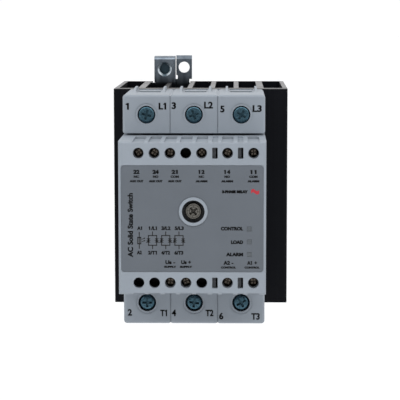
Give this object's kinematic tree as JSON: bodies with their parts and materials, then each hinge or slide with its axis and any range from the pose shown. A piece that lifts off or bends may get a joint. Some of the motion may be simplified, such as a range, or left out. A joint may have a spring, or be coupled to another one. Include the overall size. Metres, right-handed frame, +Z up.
{
  "type": "solid state relay",
  "caption": "Three-pole solid state relay on a finned heatsink, with clamp terminals, a control cover and a sprung clip for a rail.",
  "frame": {"origin": "centre of the heatsink's rear face, which lies against the panel", "axes": "+X to the right seen from the front, +Y to the rear, +Z up; the front faces -Y"},
  "size_m": [0.07, 0.134, 0.1102],
  "materials": {
    "anodised": "black anodised",
    "zinc_sheet": "dark zinc plated",
    "spring_wire": "drawn",
    "housing": "fine texture",
    "steel_screw": "plated",
    "label_film": "satin film",
    "clear_guide": "clear",
    "dark_block": "moulded",
    "copper": "tinned copper",
    "thermal_pad": "matt",
    "circuit_board": "solder mask",
    "tinned": "tinned",
    "black_package": "moulded",
    "relay_case": "moulded",
    "capacitor_can": "sleeved",
    "lamp_body": "clear",
    "teal_screw": "blue zinc plated",
    "control_screw": "oiled",
    "clamp_steel": "zinc plated"
  },
  "bodies": {
    "relay": {"base_screws": "steel_screw", "board_link": "black_package", "busbars": "copper", "capacitors": "capacitor_can", "control_blocks": "dark_block", "control_board": "circuit_board", "control_contacts": "copper", "cover_screw": "steel_screw", "driver_board": "circuit_board", "earth_rivets": "zinc_sheet", "earth_terminal": "zinc_sheet", "front_cover": "housing", "gate_couplers": "black_package", "heatsink": "anodised", "label": "label_film", "lamps": "lamp_body", "latch_spring": "spring_wire", "light_guides": "clear_guide", "module_pads": "thermal_pad", "module_pins": "tinned", "module_screws": "steel_screw", "mounting_strap": "zinc_sheet", "power_modules": "black_package", "signal_chips": "black_package", "signal_relays": "relay_case", "terminal_base": "housing"},
    "line_screw_1": {"line_screw_1": "teal_screw"},
    "line_clamp_1": {"line_clamp_1": "clamp_steel"},
    "load_screw_1": {"load_screw_1": "teal_screw"},
    "load_clamp_1": {"load_clamp_1": "clamp_steel"},
    "line_screw_2": {"line_screw_2": "teal_screw"},
    "line_clamp_2": {"line_clamp_2": "clamp_steel"},
    "load_screw_2": {"load_screw_2": "teal_screw"},
    "load_clamp_2": {"load_clamp_2": "clamp_steel"},
    "line_screw_3": {"line_screw_3": "teal_screw"},
    "line_clamp_3": {"line_clamp_3": "clamp_steel"},
    "load_screw_3": {"load_screw_3": "teal_screw"},
    "load_clamp_3": {"load_clamp_3": "clamp_steel"},
    "control_screw_22": {"control_screw_22": "control_screw"},
    "control_clamp_22": {"control_clamp_22": "clamp_steel"},
    "control_screw_24": {"control_screw_24": "control_screw"},
    "control_clamp_24": {"control_clamp_24": "clamp_steel"},
    "control_screw_21": {"control_screw_21": "control_screw"},
    "control_clamp_21": {"control_clamp_21": "clamp_steel"},
    "control_screw_12": {"control_screw_12": "control_screw"},
    "control_clamp_12": {"control_clamp_12": "clamp_steel"},
    "control_screw_14": {"control_screw_14": "control_screw"},
    "control_clamp_14": {"control_clamp_14": "clamp_steel"},
    "control_screw_11": {"control_screw_11": "control_screw"},
    "control_clamp_11": {"control_clamp_11": "clamp_steel"},
    "control_screw_Us_minus": {"control_screw_Us_minus": "control_screw"},
    "control_clamp_Us_minus": {"control_clamp_Us_minus": "clamp_steel"},
    "control_screw_Us_plus": {"control_screw_Us_plus": "control_screw"},
    "control_clamp_Us_plus": {"control_clamp_Us_plus": "clamp_steel"},
    "control_screw_A2": {"control_screw_A2": "control_screw"},
    "control_clamp_A2": {"control_clamp_A2": "clamp_steel"},
    "control_screw_A1": {"control_screw_A1": "control_screw"},
    "control_clamp_A1": {"control_clamp_A1": "clamp_steel"},
    "latch": {"rail_latch": "zinc_sheet"}
  },
  "joints": [
    {"name": "line_screw_1_turn", "type": "hinge", "parent": "relay", "child": "line_screw_1", "pos_m": [-0.0197, -0.1003, 0.0358], "axis": [0, 1, 0], "range_deg": [0, 2881]},
    {"name": "line_clamp_1_slide", "type": "slide", "parent": "relay", "child": "line_clamp_1", "axis": [0, -1, 0], "range_m": [0, 0.0064]},
    {"name": "load_screw_1_turn", "type": "hinge", "parent": "relay", "child": "load_screw_1", "pos_m": [-0.0197, -0.1003, -0.0364], "axis": [0, 1, 0], "range_deg": [0, 2881]},
    {"name": "load_clamp_1_slide", "type": "slide", "parent": "relay", "child": "load_clamp_1", "axis": [0, -1, 0], "range_m": [0, 0.0064]},
    {"name": "line_screw_2_turn", "type": "hinge", "parent": "relay", "child": "line_screw_2", "pos_m": [-0.0017, -0.1003, 0.0358], "axis": [0, 1, 0], "range_deg": [0, 2881]},
    {"name": "line_clamp_2_slide", "type": "slide", "parent": "relay", "child": "line_clamp_2", "axis": [0, -1, 0], "range_m": [0, 0.0064]},
    {"name": "load_screw_2_turn", "type": "hinge", "parent": "relay", "child": "load_screw_2", "pos_m": [-0.0017, -0.1003, -0.0364], "axis": [0, 1, 0], "range_deg": [0, 2881]},
    {"name": "load_clamp_2_slide", "type": "slide", "parent": "relay", "child": "load_clamp_2", "axis": [0, -1, 0], "range_m": [0, 0.0064]},
    {"name": "line_screw_3_turn", "type": "hinge", "parent": "relay", "child": "line_screw_3", "pos_m": [0.0163, -0.1003, 0.0358], "axis": [0, 1, 0], "range_deg": [0, 2881]},
    {"name": "line_clamp_3_slide", "type": "slide", "parent": "relay", "child": "line_clamp_3", "axis": [0, -1, 0], "range_m": [0, 0.0064]},
    {"name": "load_screw_3_turn", "type": "hinge", "parent": "relay", "child": "load_screw_3", "pos_m": [0.0163, -0.1003, -0.0364], "axis": [0, 1, 0], "range_deg": [0, 2881]},
    {"name": "load_clamp_3_slide", "type": "slide", "parent": "relay", "child": "load_clamp_3", "axis": [0, -1, 0], "range_m": [0, 0.0064]},
    {"name": "control_screw_22_turn", "type": "hinge", "parent": "relay", "child": "control_screw_22", "pos_m": [-0.02135, -0.1274, 0.0236], "axis": [0, 1, 0], "range_deg": [0, 2001]},
    {"name": "control_clamp_22_slide", "type": "slide", "parent": "relay", "child": "control_clamp_22", "axis": [0, -1, 0], "range_m": [0, 0.0025]},
    {"name": "control_screw_24_turn", "type": "hinge", "parent": "relay", "child": "control_screw_24", "pos_m": [-0.01557, -0.1274, 0.0236], "axis": [0, 1, 0], "range_deg": [0, 2001]},
    {"name": "control_clamp_24_slide", "type": "slide", "parent": "relay", "child": "control_clamp_24", "axis": [0, -1, 0], "range_m": [0, 0.0025]},
    {"name": "control_screw_21_turn", "type": "hinge", "parent": "relay", "child": "control_screw_21", "pos_m": [-0.0098, -0.1274, 0.0236], "axis": [0, 1, 0], "range_deg": [0, 2001]},
    {"name": "control_clamp_21_slide", "type": "slide", "parent": "relay", "child": "control_clamp_21", "axis": [0, -1, 0], "range_m": [0, 0.0025]},
    {"name": "control_screw_12_turn", "type": "hinge", "parent": "relay", "child": "control_screw_12", "pos_m": [0.00175, -0.1274, 0.0236], "axis": [0, 1, 0], "range_deg": [0, 2001]},
    {"name": "control_clamp_12_slide", "type": "slide", "parent": "relay", "child": "control_clamp_12", "axis": [0, -1, 0], "range_m": [0, 0.0025]},
    {"name": "control_screw_14_turn", "type": "hinge", "parent": "relay", "child": "control_screw_14", "pos_m": [0.0112, -0.1274, 0.0236], "axis": [0, 1, 0], "range_deg": [0, 2001]},
    {"name": "control_clamp_14_slide", "type": "slide", "parent": "relay", "child": "control_clamp_14", "axis": [0, -1, 0], "range_m": [0, 0.0025]},
    {"name": "control_screw_11_turn", "type": "hinge", "parent": "relay", "child": "control_screw_11", "pos_m": [0.0207, -0.1274, 0.0236], "axis": [0, 1, 0], "range_deg": [0, 2001]},
    {"name": "control_clamp_11_slide", "type": "slide", "parent": "relay", "child": "control_clamp_11", "axis": [0, -1, 0], "range_m": [0, 0.0025]},
    {"name": "control_screw_Us_minus_turn", "type": "hinge", "parent": "relay", "child": "control_screw_Us_minus", "pos_m": [-0.0098, -0.1274, -0.0242], "axis": [0, 1, 0], "range_deg": [0, 2001]},
    {"name": "control_clamp_Us_minus_slide", "type": "slide", "parent": "relay", "child": "control_clamp_Us_minus", "axis": [0, -1, 0], "range_m": [0, 0.0025]},
    {"name": "control_screw_Us_plus_turn", "type": "hinge", "parent": "relay", "child": "control_screw_Us_plus", "pos_m": [-0.00403, -0.1274, -0.0242], "axis": [0, 1, 0], "range_deg": [0, 2001]},
    {"name": "control_clamp_Us_plus_slide", "type": "slide", "parent": "relay", "child": "control_clamp_Us_plus", "axis": [0, -1, 0], "range_m": [0, 0.0025]},
    {"name": "control_screw_A2_turn", "type": "hinge", "parent": "relay", "child": "control_screw_A2", "pos_m": [0.0112, -0.1274, -0.0242], "axis": [0, 1, 0], "range_deg": [0, 2001]},
    {"name": "control_clamp_A2_slide", "type": "slide", "parent": "relay", "child": "control_clamp_A2", "axis": [0, -1, 0], "range_m": [0, 0.0025]},
    {"name": "control_screw_A1_turn", "type": "hinge", "parent": "relay", "child": "control_screw_A1", "pos_m": [0.0207, -0.1274, -0.0242], "axis": [0, 1, 0], "range_deg": [0, 2001]},
    {"name": "control_clamp_A1_slide", "type": "slide", "parent": "relay", "child": "control_clamp_A1", "axis": [0, -1, 0], "range_m": [0, 0.0025]},
    {"name": "latch_slide", "type": "slide", "parent": "relay", "child": "latch", "axis": [0, 0, -1], "range_m": [0, 0.004], "stiffness_N_per_m": 2500, "springref_m": -0.006, "deforming": ["latch_spring"]}
  ],
  "couplings": [
    {"joint": "line_screw_1_turn", "follows": "line_clamp_1_slide", "rad_per_m": 7854},
    {"joint": "load_screw_1_turn", "follows": "load_clamp_1_slide", "rad_per_m": 7854},
    {"joint": "line_screw_2_turn", "follows": "line_clamp_2_slide", "rad_per_m": 7854},
    {"joint": "load_screw_2_turn", "follows": "load_clamp_2_slide", "rad_per_m": 7854},
    {"joint": "line_screw_3_turn", "follows": "line_clamp_3_slide", "rad_per_m": 7854},
    {"joint": "load_screw_3_turn", "follows": "load_clamp_3_slide", "rad_per_m": 7854},
    {"joint": "control_screw_22_turn", "follows": "control_clamp_22_slide", "rad_per_m": 13963},
    {"joint": "control_screw_24_turn", "follows": "control_clamp_24_slide", "rad_per_m": 13963},
    {"joint": "control_screw_21_turn", "follows": "control_clamp_21_slide", "rad_per_m": 13963},
    {"joint": "control_screw_12_turn", "follows": "control_clamp_12_slide", "rad_per_m": 13963},
    {"joint": "control_screw_14_turn", "follows": "control_clamp_14_slide", "rad_per_m": 13963},
    {"joint": "control_screw_11_turn", "follows": "control_clamp_11_slide", "rad_per_m": 13963},
    {"joint": "control_screw_Us_minus_turn", "follows": "control_clamp_Us_minus_slide", "rad_per_m": 13963},
    {"joint": "control_screw_Us_plus_turn", "follows": "control_clamp_Us_plus_slide", "rad_per_m": 13963},
    {"joint": "control_screw_A2_turn", "follows": "control_clamp_A2_slide", "rad_per_m": 13963},
    {"joint": "control_screw_A1_turn", "follows": "control_clamp_A1_slide", "rad_per_m": 13963}
  ]
}
